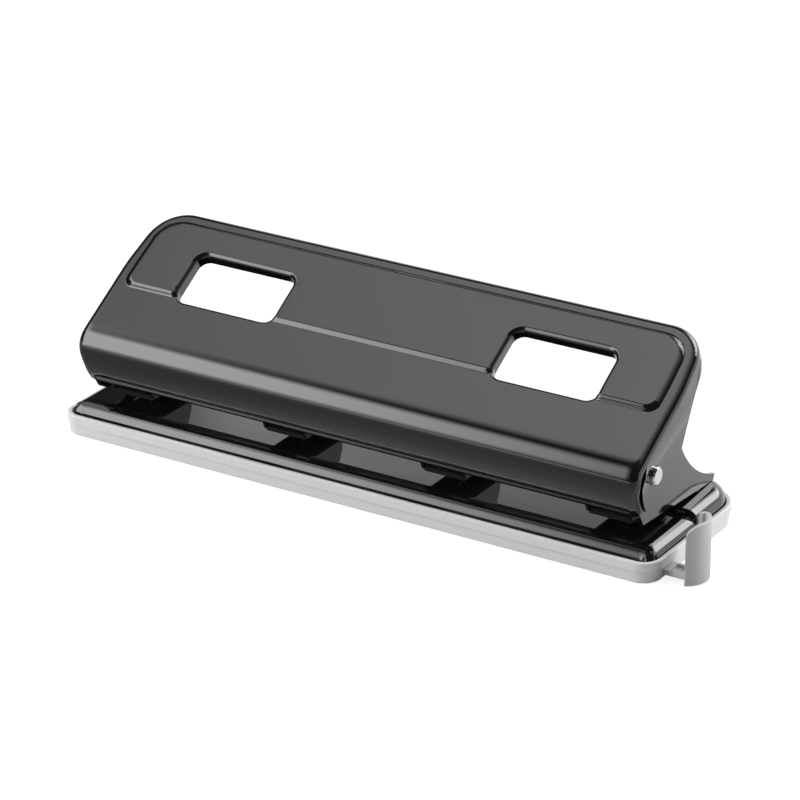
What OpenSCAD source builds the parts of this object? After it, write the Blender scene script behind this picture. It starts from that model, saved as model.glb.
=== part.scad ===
// Four-hole punch with a wide pressed handle, a plastic chip tray and a sliding paper guide
// X runs along the length, the paper enters from the front at minus Y, Z is up from the ground

/* [Tray] */
// Length of the chip tray
tray_l = 298; // [296:1:306]
// Depth of the chip tray, front to back
tray_d = 83.5; // [83:0.5:88]
// Height of the tray rim
tray_h = 9.5; // [8.5:0.5:10]
// Thickness of the tray floor
tray_floor = 1.6; // [1.2:0.1:1.8]
// Corner radius of the tray at the front
tray_front_r = 9; // [8:0.5:14]
// Corner radius of the tray at the rear
tray_rear_r = 18; // [14:1:24]
// Height of the lower tier of the tray wall
tier_h = 5; // [4:0.5:6]
// How far the lower tier is set back
tier_set = 0.7; // [0.3:0.1:0.9]

/* [Base plate] */
// Visible pale ledge of the tray round the plate
ledge = 2.4; // [2:0.1:3.2]
// Sheet thickness of the base plate
plate_t = 1.5; // [1:0.1:1.8]
// Height of the paper table over the ground
table_z = 13.2; // [12.6:0.1:13.6]
// Rounding of the table edge
table_r = 5; // [4:0.5:5.5]
// Height of the rear platform over the table, this step is the paper stop
stop_h = 2.8; // [2.4:0.1:3.2]
// Rounding of the platform edge
platform_r = 6; // [4.5:0.5:6.5]

/* [Punch line] */
// Distance between neighbouring holes
pitch = 80; // [79:0.5:80.5]
// Distance of the punch line behind the front edge of the tray
punch_set = 31.75; // [31:0.25:33]
// Distance of the hole centres from the paper edge
margin = 12; // [11:0.5:13]
// Punch diameter
pin_d = 5.5; // [5:0.1:6]
// Height of the roof-shaped punch tip
tip_h = 2.2; // [1.6:0.1:2.4]
// How far the punch tip stands out below the frame
tip_out = 1.7; // [1:0.1:2]
// Outer diameter of the die rings
die_d = 11; // [10:0.5:12]
// Height of the die rings
die_h = 3.2; // [2.8:0.1:3.6]

/* [Punch frames] */
// Width of one frame
frame_w = 22; // [20:0.5:22.5]
// Sheet thickness of the frame ears
ear_t = 1.5; // [1.2:0.1:2]
// Thickness of the lower leaf
leaf_t = 2; // [1.6:0.1:2.2]
// Gap between the paper table and the lower leaf
throat = 4.8; // [4.6:0.1:5]
// Free height between the lower and the upper leaf
leaf_gap = 12.3; // [11.8:0.1:12.6]
// Thickness of the upper leaf
top_leaf_t = 1.5; // [1.2:0.1:1.8]
// Reach of the lower leaf in front of the punch line
leaf_front = 15.5; // [14.5:0.5:16.5]
// Length of the riveted foot behind the paper stop
foot_l = 16; // [14:0.5:16]
// Radius of the ear round the pivot rod
ear_r = 8; // [6.5:0.5:9]

/* [Pivot] */
// Height of the pivot axis over the paper table
pivot_h = 28.1; // [27.9:0.1:28.5]
// Distance of the pivot axis in front of the punch line
lever = 13.5; // [13:0.1:14]
// Diameter of the pivot rod
rod_d = 8; // [7:0.2:9]
// How far the rod ends stand out of the handle
rod_out = 2.3; // [1.5:0.1:3]

/* [Handle] */
// Length of the handle over its side wings
handle_l = 277.5; // [275:0.5:280]
// Sheet thickness of the handle
sheet = 1.2; // [1:0.05:1.3]
// Rest slope of the handle plate in degrees
slope = 31; // [29:0.5:33]
// Distance of the plate surface from the pivot axis
plate_off = 14.2; // [13.8:0.1:15]
// Length of the plate up the slope from the pivot
reach = 66; // [62:0.5:70]
// Reach of the curled nose in front of the pivot
nose_reach = 16.9; // [16.5:0.1:18]
// Upper radius of the curled nose
nose_r = 10; // [9:0.5:10.5]
// Lower radius of the curled lip
lip_r = 24; // [22:0.5:26]
// Sweep of the lower lip in degrees
lip_a = 42; // [36:1:46]
// Bend radius at the side and rear edges
bend_r = 3.8; // [3:0.1:4.5]
// Corner radius at the rear corners
corner_r = 18; // [15:0.5:19]
// Depth of the rim at the rear edge
rim_d = 8; // [7:0.5:10]
// Start of the raised panel up the slope
panel_low = 20.6; // [20.2:0.1:22]
// End of the raised panel up the slope
panel_top = 59.6; // [58:0.1:60]
// Distance of the raised panel from the wings
panel_in = 5.4; // [4.8:0.1:8]
// Height of the raised panel
panel_h = 1.1; // [0.6:0.05:1.15]
// Width of each window
window_w = 50.5; // [44:0.5:52]
// Start of the windows up the slope
window_low = 19.3; // [19:0.1:20]
// Height of the windows up the slope
window_h = 25.5; // [20:0.5:27]
// Corner radius of the windows
window_r = 5; // [3:0.5:8]
// Depth of the turned-in window edges
window_d = 5; // [3:0.5:6]

/* [Press rod] */
// Diameter of the press rod
press_d = 6; // [5.6:0.1:6.2]
// Height of the press rod axis over the pivot axis
press_up = 3.3; // [3.1:0.1:3.5]
// Thickness of the rod hangers
hanger_t = 1.5; // [1.2:0.1:1.6]

/* [Springs] */
// Wire thickness of the return springs
wire_d = 0.8; // [0.6:0.05:0.9]
// Mean radius of the return springs
coil_r = 4.2; // [4.1:0.1:4.8]
// Number of turns
turns = 4.5; // [3.5:0.5:5.5]

/* [Paper guide] */
// Width of the guide bar
bar_w = 9; // [8:0.5:10]
// Thickness of the guide bar
bar_t = 2.5; // [2:0.1:2.8]
// Distance of the bar centre behind the front edge of the tray
bar_set = 14.7; // [14:0.1:16]
// Length of the bar inside the tray
bar_in = 84; // [76:1:90]
// How far the stop stands away from the tray end
guide_out = 10; // [9.5:0.5:16]
// Outer radius of the curved stop in plan
stop_r = 10.3; // [9.5:0.1:11]
// Height of the stop
guide_h = 27; // [24:0.5:32]
// Wall thickness of the stop
guide_t = 1.7; // [1.4:0.1:2]

/* [Clearances] */
// Gap between plate and tray rim
rim_gap = 0.3; // [0.2:0.05:0.4]
// Radial running fit of the punches
pin_fit = 0.05; // [0.03:0.01:0.08]
// Radial running fit of the handle on the pivot rod
pivot_fit = 0.08; // [0.05:0.01:0.1]
// Radial gap of parts that are pressed or clipped on
press_fit = 0.02; // [0.01:0.01:0.04]
// Gap between wings and cheeks
wing_gap = 0.3; // [0.3:0.05:0.5]
// Gap of seats that only touch under load
seat_gap = 0.3; // [0.25:0.05:0.35]
// Sliding gap of the guide bar
slide_gap = 0.3; // [0.25:0.05:0.4]

/* [Hidden] */
$fn = 64;
eps = 0.01;
stations = [-1.5 * pitch, -0.5 * pitch, 0.5 * pitch, 1.5 * pitch];
front_y = -tray_d / 2;
rear_y = tray_d / 2;
plate_x = tray_l / 2 - ledge;
plate_y = tray_d / 2 - ledge;
plate_fr = tray_front_r - 1.5;
plate_rr = tray_rear_r - 2;
skirt_z = tray_h - 4.3;
platform_z = table_z + stop_h;
punch_y = front_y + punch_set;
stop_y = punch_y + margin;
pivot_y = punch_y - lever;
pivot_z = table_z + pivot_h;
leaf_z = table_z + throat;
leaf_top = leaf_z + leaf_t;
top_leaf_z = leaf_top + leaf_gap;
top_leaf_top = top_leaf_z + top_leaf_t;
press_z = pivot_z + press_up;
pin_r = pin_d / 2;
pin_top = press_z - press_d / 2 - seat_gap;
pin_tip = leaf_z - tip_out;
rivet_r = 1.5;
rivet_head_r = 3;
rivet_foot_r = 2.3;
rivet_foot_h = 0.9;
rivet_dome_r = 3.6;
rivet_dome_h = 1.5;
rivet_in = 6;
rivet_off = 5.5;
clip_t = 1;
clip_z = top_leaf_z - seat_gap - clip_t;
clip_r = coil_r + wire_d / 2 + 0.4;
wing_x = handle_l / 2;
cheek_t = 1.5;
cheek_x = wing_x - sheet - wing_gap;
cheek_flange = 4.5;
cheek_flange_t = 1.2;
cheek_foot_d = 9;
cheek_foot_y = stop_y + foot_l + 2.5;
cheek_rivet_y = cheek_foot_y + cheek_foot_d / 2;
rivet_edge = 2.6;
rivet_step = 6.4;
outer_rivet_x = min(cheek_x - cheek_flange - rivet_head_r - seat_gap, plate_x - platform_r - rivet_edge);
cheek_rivet_x = [outer_rivet_x, outer_rivet_x - rivet_step];
boss_r = 11;
cheek_tail = 58.4;
cheek_tail_h = 2.9;
cheek_toe = 4.7;
cheek_toe_up = 7;
cheek_toe_front = 2.8;
cheek_toe_h = 4.4;
cheek_back = 26;
cheek_arc_r = 51.8;
cheek_arc_y = 13.5;
cheek_arc_z = 52.9;
end_frame_x = 1.5 * pitch + frame_w / 2;
hanger_in = 0.5 * pitch - frame_w / 2 - 5;
hanger_out = (end_frame_x + cheek_x - cheek_t) / 2;
hanger_wall = 2.5;
hanger_r = press_d / 2 + hanger_wall;
hanger_w0 = 4;
hanger_w1 = 18.5;
hanger_foot = 9;
press_w = lever * cos(slope) + press_up * sin(slope);
press_n = press_up * cos(slope) - lever * sin(slope);
nose_rise = (plate_off - nose_r - (nose_reach - nose_r) * sin(slope)) / cos(slope);
nose_w = -(nose_reach - nose_r) * cos(slope) + nose_rise * sin(slope);
nose_n = plate_off - nose_r;
lip_w = nose_w + (lip_r - nose_r) * cos(slope);
lip_n = nose_n - (lip_r - nose_r) * sin(slope);
nose_a = 180 - slope;
stop_back = 3.6;
stop_side = 2;
bar_y = front_y + bar_set;
bar_z = tray_floor + slide_gap;
stop_cx = tray_l / 2 + guide_out - stop_back;
stop_cy = bar_y + stop_side;
stop_z = 0.6;

// Rounded outline, same width at the front and rear, own corner radius at each
module plan(x, y0, y1, rf, rr) {
    translate([-x, y0 + rf])
        square([2 * x, y1 - rr - y0 - rf]);
    translate([-x + rf, y0])
        square([2 * (x - rf), rf + eps]);
    translate([-x + rr, y1 - rr - eps])
        square([2 * (x - rr), rr + eps]);
    for (s = [-1, 1]) {
        translate([s * (x - rf), y0 + rf])
            circle(r = rf);
        translate([s * (x - rr), y1 - rr])
            circle(r = rr);
    }
}

module quarter(e) {
    intersection() {
        circle(r = e);
        square(e);
    }
}

// Block over that outline with its upper edge rounded
module pillow(x, y0, y1, rf, rr, z0, z1, e) {
    translate([0, 0, z0])
        linear_extrude(z1 - e - z0)
            plan(x, y0, y1, rf, rr);
    translate([0, 0, z1 - e])
        linear_extrude(e)
            plan(x - e, y0 + e, y1 - e, rf - e, rr - e);
    translate([0, 0, z1 - e]) {
        for (s = [-1, 1]) {
            translate([s * (x - e), y1 - rr, 0])
                rotate([90, 0, 0])
                    linear_extrude(y1 - rr - y0 - rf)
                        scale_side(s)
                            quarter(e);
            translate([s * (x - rf), y0 + rf, 0])
                rotate([0, 0, s > 0 ? -90 : 180])
                    rotate_extrude(angle = 90)
                        translate([rf - e, 0])
                            quarter(e);
            translate([s * (x - rr), y1 - rr, 0])
                rotate([0, 0, s > 0 ? 0 : 90])
                    rotate_extrude(angle = 90)
                        translate([rr - e, 0])
                            quarter(e);
        }
        translate([-(x - rf), y0 + e, 0])
            rotate([90, 0, 90])
                linear_extrude(2 * (x - rf))
                    scale_side(-1)
                        quarter(e);
        translate([-(x - rr), y1 - e, 0])
            rotate([90, 0, 90])
                linear_extrude(2 * (x - rr))
                    quarter(e);
    }
}

module scale_side(s) {
    if (s > 0)
        children();
    else
        mirror([1, 0])
            children();
}

// Side profile drawn as depth and height, then run along the length
module along_x(x0, x1) {
    translate([x0, 0, 0])
        rotate([90, 0, 90])
            linear_extrude(x1 - x0)
                children();
}

// Frame of the handle: pivot at zero, plate level
module in_handle() {
    translate([0, pivot_y, pivot_z])
        rotate([slope, 0, 0])
            children();
}

module both_sides() {
    children();
    mirror([1, 0, 0])
        children();
}

// Piece of a bent strip, outer radius r, from angle a0 to a1
module band(r, t, a0, a1) {
    difference() {
        circle(r = r, $fn = 128);
        circle(r = r - t, $fn = 128);
        rotate(a0)
            translate([-2 * r, -4 * r])
                square([4 * r, 4 * r]);
        rotate(a1)
            translate([-2 * r, 0])
                square([4 * r, 4 * r]);
    }
}

module rivet(x, y, z_low, z_top) {
    translate([x, y, z_low - rivet_foot_h])
        cylinder(h = z_top - z_low + rivet_foot_h + rivet_dome_h / 3, r = rivet_r - press_fit);
    translate([x, y, z_low - rivet_foot_h])
        cylinder(h = rivet_foot_h, r = rivet_foot_r);
    translate([x, y, z_top])
        rotate_extrude()
            intersection() {
                translate([0, rivet_dome_h - rivet_dome_r])
                    circle(r = rivet_dome_r);
                square(rivet_head_r);
            }
}

module chip_tray() {
    color("#dfe0e0")
        difference() {
            union() {
                difference() {
                    union() {
                        translate([0, 0, tier_h])
                            linear_extrude(tray_h - tier_h)
                                plan(tray_l / 2, front_y, rear_y, tray_front_r, tray_rear_r);
                        linear_extrude(tier_h + eps)
                            plan(tray_l / 2 - tier_set, front_y + tier_set, rear_y - tier_set,
                                tray_front_r - tier_set, tray_rear_r - tier_set);
                    }
                    translate([0, 0, tray_floor])
                        linear_extrude(tray_h)
                            plan(plate_x + rim_gap, -plate_y - rim_gap, plate_y + rim_gap,
                                plate_fr + rim_gap, plate_rr + rim_gap);
                }
                tray_ribs();
            }
            translate([plate_x - 4, bar_y - bar_w / 2 - slide_gap, tray_floor])
                cube([20, bar_w + 2 * slide_gap, bar_t + 2 * slide_gap]);
        }
}

// Small ribs that carry the lower edge of the base plate
module tray_ribs() {
    rib_h = skirt_z - tray_floor + eps;
    for (x = [-0.43, -0.26, -0.09, 0.09, 0.26, 0.43]) {
        translate([x * tray_l - 1, -plate_y - rim_gap - 0.5, tray_floor - eps])
            cube([2, 4, rib_h]);
        translate([x * tray_l - 1, plate_y + rim_gap - 3.5, tray_floor - eps])
            cube([2, 4, rib_h]);
    }
    both_sides()
        for (y = [-0.12, 0.2])
            translate([plate_x + rim_gap - 3.5, y * tray_d - 1, tray_floor - eps])
                cube([4, 2, rib_h]);
}

// Rails and two straps, welded on the tray floor, that keep the guide bar in its channel
module bar_channel() {
    rail_x = plate_x - bar_in + 6;
    rail_h = bar_t + 2 * slide_gap;
    color("#d6d7d7") {
        for (s = [-1, 1])
            translate([rail_x, bar_y + s * (bar_w / 2 + slide_gap + 0.75) - 0.75, tray_floor])
                cube([bar_in - 16, 1.5, rail_h + eps]);
        for (x = [rail_x, plate_x - 20])
            translate([x, bar_y - bar_w / 2 - slide_gap - 1.5, tray_floor + rail_h])
                cube([6, bar_w + 2 * slide_gap + 3, 1.2]);
    }
}

module base_plate() {
    color("#17181a")
        difference() {
            union() {
                pillow(plate_x, -plate_y, plate_y, plate_fr, plate_rr, skirt_z, table_z, table_r);
                intersection() {
                    pillow(plate_x, stop_y - 12, plate_y, plate_fr, plate_rr,
                        skirt_z, platform_z, platform_r);
                    translate([-tray_l, stop_y, 0])
                        cube([2 * tray_l, tray_d, 40]);
                }
            }
            translate([0, 0, -eps])
                pillow(plate_x - plate_t, -plate_y + plate_t, plate_y - plate_t, plate_fr - plate_t,
                    plate_rr - plate_t, skirt_z, table_z - plate_t + eps, table_r - plate_t);
            intersection() {
                pillow(plate_x - plate_t, stop_y - 12, plate_y - plate_t, plate_fr - plate_t,
                    plate_rr - plate_t, skirt_z, platform_z - plate_t, platform_r - plate_t);
                translate([-tray_l, stop_y + plate_t, 0])
                    cube([2 * tray_l, tray_d, 40]);
            }
            for (x = stations)
                translate([x, punch_y, 0])
                    cylinder(h = 40, r = die_d / 2 + press_fit);
            for (x = stations, s = [-1, 1])
                translate([x + s * rivet_off, stop_y + foot_l - rivet_in, 0])
                    cylinder(h = 40, r = rivet_r);
            for (s = [-1, 1], x = cheek_rivet_x)
                translate([s * x, cheek_rivet_y, 0])
                    cylinder(h = 40, r = rivet_r);
        }
}

module die(n) {
    color("#9a9ca0")
        translate([stations[n], punch_y, 0])
            difference() {
                union() {
                    translate([0, 0, table_z - die_h])
                        cylinder(h = die_h, r = die_d / 2);
                    translate([0, 0, table_z - die_h])
                        cylinder(h = die_h - plate_t, r = die_d / 2 + 1.5);
                }
                cylinder(h = 40, r = pin_r + pin_fit);
            }
}

// One frame: lower leaf with a joggled foot, two ears for the pivot rod and an upper leaf
module punch_frame(n) {
    fx = frame_w / 2;
    front = punch_y - leaf_front;
    color("#1b1c1e")
        translate([stations[n], 0, 0])
            difference() {
                union() {
                    translate([-fx + 1.2, front, leaf_z])
                        cube([2 * fx - 2.4, stop_y + 4.5 - front, leaf_t]);
                    translate([-fx + 1.2, stop_y + 2.5, platform_z])
                        cube([2 * fx - 2.4, 2, leaf_top - platform_z]);
                    translate([-fx + 1.2, stop_y + 2.5, platform_z])
                        cube([2 * fx - 2.4, foot_l - 2.5, leaf_t]);
                    translate([-fx + eps, punch_y - 6, top_leaf_z])
                        cube([2 * fx - 2 * eps, 12, top_leaf_t]);
                    both_sides()
                        along_x(fx - ear_t, fx)
                            ear();
                }
                translate([0, punch_y, leaf_z - eps])
                    cylinder(h = 40, r = pin_r + pin_fit);
                translate([-fx - 1, pivot_y, pivot_z])
                    rotate([0, 90, 0])
                        cylinder(h = frame_w + 2, r = rod_d / 2 + press_fit);
                for (s = [-1, 1])
                    translate([s * rivet_off, stop_y + foot_l - rivet_in, 0])
                        cylinder(h = 30, r = rivet_r);
            }
}

module ear() {
    front = punch_y - leaf_front;
    translate([pivot_y, pivot_z])
        circle(r = ear_r);
    polygon([
        [front, leaf_z + 0.8],
        [stop_y + 1, leaf_z + 0.8],
        [stop_y + 1, leaf_z + 5],
        [punch_y + 8, top_leaf_top],
        [punch_y - 5, top_leaf_top],
        [pivot_y + ear_r * cos(20), pivot_z - ear_r * sin(20)],
        [pivot_y - ear_r * cos(15), pivot_z - ear_r * sin(15)],
        [front - 3, leaf_z + 7]
    ]);
}

module frame_rivets() {
    color("#8d8f93")
        for (x = stations, s = [-1, 1])
            rivet(x + s * rivet_off, stop_y + foot_l - rivet_in, platform_z - plate_t, platform_z + leaf_t);
}

// End cheek: carries the pivot rod, sweeps back in a hollow curve to a tail on the platform
module cheek() {
    tail_y = pivot_y + cheek_tail;
    toe_y = pivot_y - cheek_toe;
    toe_z = table_z + cheek_toe_up;
    low_z = platform_z + seat_gap / 3;
    difference() {
        union() {
            along_x(cheek_x - cheek_t, cheek_x)
                difference() {
                    union() {
                        translate([pivot_y, pivot_z])
                            circle(r = boss_r);
                        polygon([
                            [toe_y, toe_z],
                            [tail_y - cheek_tail_h / 3, low_z],
                            [tail_y, low_z + cheek_tail_h],
                            [tail_y - cheek_back, pivot_z + boss_r / 2],
                            [pivot_y + boss_r * cos(43), pivot_z + boss_r * sin(43)],
                            [pivot_y, pivot_z],
                            [pivot_y - boss_r * cos(8), pivot_z - boss_r * sin(8)],
                            [toe_y - cheek_toe_front, toe_z + cheek_toe_h]
                        ]);
                    }
                    translate([tail_y + cheek_arc_y, low_z + cheek_arc_z])
                        circle(r = cheek_arc_r, $fn = 256);
                }
            along_x(cheek_x - cheek_flange, cheek_x - eps)
                polygon([
                    [toe_y, toe_z],
                    [tail_y - cheek_tail_h / 3, low_z],
                    [tail_y - cheek_tail_h / 4, low_z + cheek_flange_t],
                    [toe_y - cheek_tail_h / 4, toe_z + cheek_flange_t]
                ]);
            translate([cheek_rivet_x[1] - rivet_head_r - 1, cheek_foot_y, platform_z])
                cube([cheek_x - cheek_t / 2 - cheek_rivet_x[1] + rivet_head_r + 1, cheek_foot_d, cheek_t]);
        }
        translate([cheek_x - 5, pivot_y, pivot_z])
            rotate([0, 90, 0])
                cylinder(h = 10, r = rod_d / 2 + press_fit);
        for (x = cheek_rivet_x)
            translate([x, cheek_rivet_y, 0])
                cylinder(h = 30, r = rivet_r);
    }
}

module right_cheek() {
    color("#1b1c1e")
        cheek();
}

module left_cheek() {
    color("#1b1c1e")
        mirror([1, 0, 0])
            cheek();
}

module cheek_rivets() {
    color("#8d8f93")
        for (s = [-1, 1], x = cheek_rivet_x)
            rivet(s * x, cheek_rivet_y, platform_z - plate_t, platform_z + cheek_t);
}

module pivot_rod() {
    rod_x = wing_x + rod_out;
    color("#d8d9db")
        translate([-rod_x, pivot_y, pivot_z])
            rotate([0, 90, 0])
                union() {
                    cylinder(h = 0.6, r1 = rod_d / 2 - 0.6, r2 = rod_d / 2);
                    translate([0, 0, 0.6])
                        cylinder(h = 2 * rod_x - 1.2, r = rod_d / 2);
                    translate([0, 0, 2 * rod_x - 0.6])
                        cylinder(h = 0.6, r1 = rod_d / 2, r2 = rod_d / 2 - 0.6);
                }
}

module rod_clips() {
    clip_x = 0.5 * pitch + frame_w / 2 + 0.2;
    color("#8d8f93")
        both_sides()
            translate([clip_x, pivot_y, pivot_z])
                rotate([0, 90, 0])
                    difference() {
                        cylinder(h = 1, r = rod_d / 2 + 3);
                        translate([0, 0, -1])
                            cylinder(h = 3, r = rod_d / 2 + press_fit);
                        translate([-rod_d / 2 + 1, 0, -1])
                            cube([rod_d - 2, rod_d + 6, 3]);
                    }
}

// Pressed handle: plate with turned-down rim, curled lip, wings, raised panel and flanged windows
module handle_shell() {
    px = wing_x - panel_in;
    panel_r = corner_r - 6;
    rim_n = plate_off - rim_d;
    color("#17181a")
        in_handle()
            difference() {
                union() {
                    plate_shell(rim_n);
                    along_x(-wing_x, wing_x)
                        nose_profile();
                    both_sides()
                        wing_sheet();
                    translate([0, 0, eps])
                        pillow(px, panel_low, panel_top, 4, panel_r,
                            plate_off - sheet, plate_off + panel_h, panel_h);
                    both_sides()
                        translate([pitch, 0, plate_off - window_d])
                            linear_extrude(window_d - eps)
                                window(sheet);
                }
                difference() {
                    pillow(px - sheet, panel_low + sheet, panel_top - sheet, 4 - sheet, panel_r - sheet,
                        plate_off - sheet - 0.5, plate_off + panel_h - sheet, panel_h / 2);
                    both_sides()
                        translate([pitch, 0, plate_off - window_d])
                            linear_extrude(window_d + 2)
                                window(sheet);
                }
                both_sides()
                    translate([pitch, 0, plate_off - window_d - 1])
                        linear_extrude(window_d + 6)
                            window(0);
                translate([-wing_x - 1, 0, 0])
                    rotate([0, 90, 0])
                        cylinder(h = handle_l + 2, r = rod_d / 2 + pivot_fit);
            }
}

module window(grow) {
    translate([0, window_low + window_h / 2])
        plan(window_w / 2 + grow, -window_h / 2 - grow, window_h / 2 + grow,
            window_r + grow, window_r + grow);
}

// Flat plate with its side and rear rim, open towards the nose
module plate_shell(rim_n) {
    intersection() {
        difference() {
            pillow(wing_x, -60, reach, corner_r, corner_r, rim_n, plate_off, bend_r);
            pillow(wing_x - sheet, -61, reach - sheet, corner_r - sheet, corner_r - sheet,
                rim_n - 1, plate_off - sheet, bend_r - sheet);
        }
        union() {
            translate([-wing_x - 1, nose_w, plate_off - bend_r])
                cube([handle_l + 2, 2 * reach, 20]);
            translate([-wing_x - 1, nose_w + 3, -20])
                cube([handle_l + 2, 2 * reach, 40]);
        }
    }
}

// Curled nose and lip in side view
module nose_profile() {
    translate([nose_w, nose_n])
        band(nose_r, sheet, 90, nose_a + eps);
    translate([lip_w, lip_n])
        band(lip_r, sheet, nose_a, nose_a + lip_a);
}

// Side wing in its sheet thickness, turned in with the rear corner
module wing_sheet() {
    intersection() {
        along_x(wing_x - corner_r, wing_x)
            wing();
        difference() {
            translate([0, 0, -40])
                linear_extrude(80)
                    plan(wing_x, -60, reach, corner_r, corner_r);
            translate([0, 0, -41])
                linear_extrude(82)
                    plan(wing_x - sheet, -61, reach - sheet, corner_r - sheet, corner_r - sheet);
        }
    }
}

// Side wing in side view: hangs from the plate rim, reaches down round the pivot rod, hollow behind
module wing() {
    top_n = plate_off - bend_r;
    toe = [-12.2, -9.6];
    heel = [15, -16];
    heel_r = 5;
    far = [reach - 11.4, plate_off - rim_d + eps];
    arc_r = 141;
    mid = (heel + far) / 2;
    half = norm(far - heel) / 2;
    lift = sqrt(arc_r * arc_r - half * half);
    dir = (far - heel) / (2 * half);
    run = atan2(heel[1] - toe[1], heel[0] - toe[0]);
    rise = atan2(dir[1], dir[0]) + asin(half / arc_r);
    cut = heel_r * tan((rise - run) / 2);
    heel_a = heel - cut * [cos(run), sin(run)];
    heel_b = heel + cut * [cos(rise), sin(rise)];
    difference() {
        polygon([
            toe,
            heel,
            far,
            [far[0], top_n],
            [nose_w + 2, top_n],
            [nose_w - 1, plate_off - 8],
            [-9.9, 2.6],
            [-11.5, -2.3],
            [-12.3, -7]
        ]);
        translate([mid[0] + dir[1] * lift, mid[1] - dir[0] * lift])
            circle(r = arc_r, $fn = 360);
        difference() {
            polygon([heel_a, 2 * heel - (heel_a + heel_b) / 2, heel_b]);
            translate(heel_a + heel_r * [-sin(run), cos(run)])
                circle(r = heel_r);
        }
    }
}

module press_rod() {
    rod_x = hanger_out + hanger_t / 2 + 0.4;
    color("#b8babd")
        translate([-rod_x, punch_y, press_z])
            rotate([0, 90, 0])
                cylinder(h = 2 * rod_x, r = press_d / 2);
}

// Hanger welded under the plate, its eye holds the press rod
module hanger(x, foot_s) {
    seat_n = plate_off - sheet;
    color("#1b1c1e")
        in_handle()
            difference() {
                union() {
                    along_x(x - hanger_t / 2, x + hanger_t / 2) {
                        translate([press_w, press_n])
                            circle(r = hanger_r);
                        polygon([
                            [hanger_w0, seat_n],
                            [hanger_w1, seat_n],
                            [press_w + hanger_r, press_n],
                            [press_w - hanger_r, press_n]
                        ]);
                    }
                    translate([foot_s > 0 ? x : x - hanger_foot, hanger_w0, seat_n - hanger_t])
                        cube([hanger_foot, hanger_w1 - hanger_w0, hanger_t]);
                }
                translate([x - 5, press_w, press_n])
                    rotate([0, 90, 0])
                        cylinder(h = 10, r = press_d / 2 + press_fit);
            }
}

module punch_pin(n) {
    color("#c9cacd")
        translate([stations[n], punch_y, 0])
            intersection() {
                translate([0, 0, pin_tip])
                    cylinder(h = pin_top - pin_tip, r = pin_r);
                translate([0, pin_r + 1, 0])
                    rotate([90, 0, 0])
                        linear_extrude(pin_d + 2)
                            polygon([
                                [0, pin_tip],
                                [pin_r + 0.5, pin_tip + tip_h * (pin_r + 0.5) / pin_r],
                                [pin_r + 0.5, pin_top + 1],
                                [-pin_r - 0.5, pin_top + 1],
                                [-pin_r - 0.5, pin_tip + tip_h * (pin_r + 0.5) / pin_r]
                            ]);
            }
}

module pin_clip(n) {
    color("#8d8f93")
        translate([stations[n], punch_y, clip_z])
            difference() {
                cylinder(h = clip_t, r = clip_r);
                translate([0, 0, -1])
                    cylinder(h = 4, r = pin_r + press_fit);
                translate([-pin_r + 0.8, -clip_r - 1, -1])
                    cube([2 * pin_r - 1.6, clip_r + 1, 4]);
            }
}

// Return spring as one unbroken wire
spring_low = leaf_top + seat_gap + wire_d / 2;
spring_top = clip_z - seat_gap - wire_d / 2;
spring_rings = 8 * turns;
spring_rise = (spring_top - spring_low) / spring_rings;

function spring_mid(i) = [coil_r * cos(45 * i), coil_r * sin(45 * i), spring_low + spring_rise * i];

function spring_ring(i) = [for (k = [0:5])
    let (c = spring_mid(i), r = wire_d / 2)
    [c[0] + r * cos(60 * k) * cos(45 * i), c[1] + r * cos(60 * k) * sin(45 * i), c[2] + r * sin(60 * k)]];

spring_gap = min([for (i = [0:spring_rings], j = [0:spring_rings]) if (j >= i + 5)
    norm(spring_mid(i) - spring_mid(j))]) - wire_d;
echo(least_spring_gap = spring_gap);

module punch_spring(n) {
    points = [for (i = [0:spring_rings]) each spring_ring(i)];
    last = 6 * spring_rings;
    walls = [for (i = [0:spring_rings - 1], k = [0:5])
        [6 * i + k, 6 * i + 6 + k, 6 * i + 6 + (k + 1) % 6, 6 * i + (k + 1) % 6]];
    ends = [[0, 1, 2, 3, 4, 5], [last + 5, last + 4, last + 3, last + 2, last + 1, last]];
    color("#b0b2b6")
        translate([stations[n], punch_y, 0])
            polyhedron(points, concat(walls, ends));
}

// Guide: flat bar in the tray and a curved stop with a rolled rear edge
module paper_guide() {
    mid_r = stop_r - guide_t / 2;
    end_a = 47;
    roll_r = 2.4;
    bar_x0 = plate_x - bar_in;
    color("#a9abad") {
        intersection() {
            translate([bar_x0, bar_y - bar_w / 2, bar_z])
                cube([stop_cx + stop_r - bar_x0, bar_w, bar_t]);
            union() {
                translate([bar_x0 - 1, bar_y - bar_w, 0])
                    cube([stop_cx - bar_x0, 2 * bar_w, 10]);
                translate([stop_cx, stop_cy, 0])
                    cylinder(h = 10, r = stop_r - 0.3);
            }
        }
        difference() {
            translate([0, 0, stop_z])
                linear_extrude(guide_h)
                    translate([stop_cx, stop_cy]) {
                        band(stop_r, guide_t, -64, end_a + eps);
                        translate([(mid_r - roll_r) * cos(end_a), (mid_r - roll_r) * sin(end_a)])
                            band(roll_r + guide_t / 2, guide_t, end_a, end_a + 150);
                    }
            along_x(stop_cx, stop_cx + 20)
                translate([stop_cy - stop_r * sin(64), stop_z + guide_h])
                    difference() {
                        translate([-1, -5])
                            square([6, 6]);
                        translate([5, -5])
                            circle(r = 5);
                    }
        }
    }
}

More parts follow.
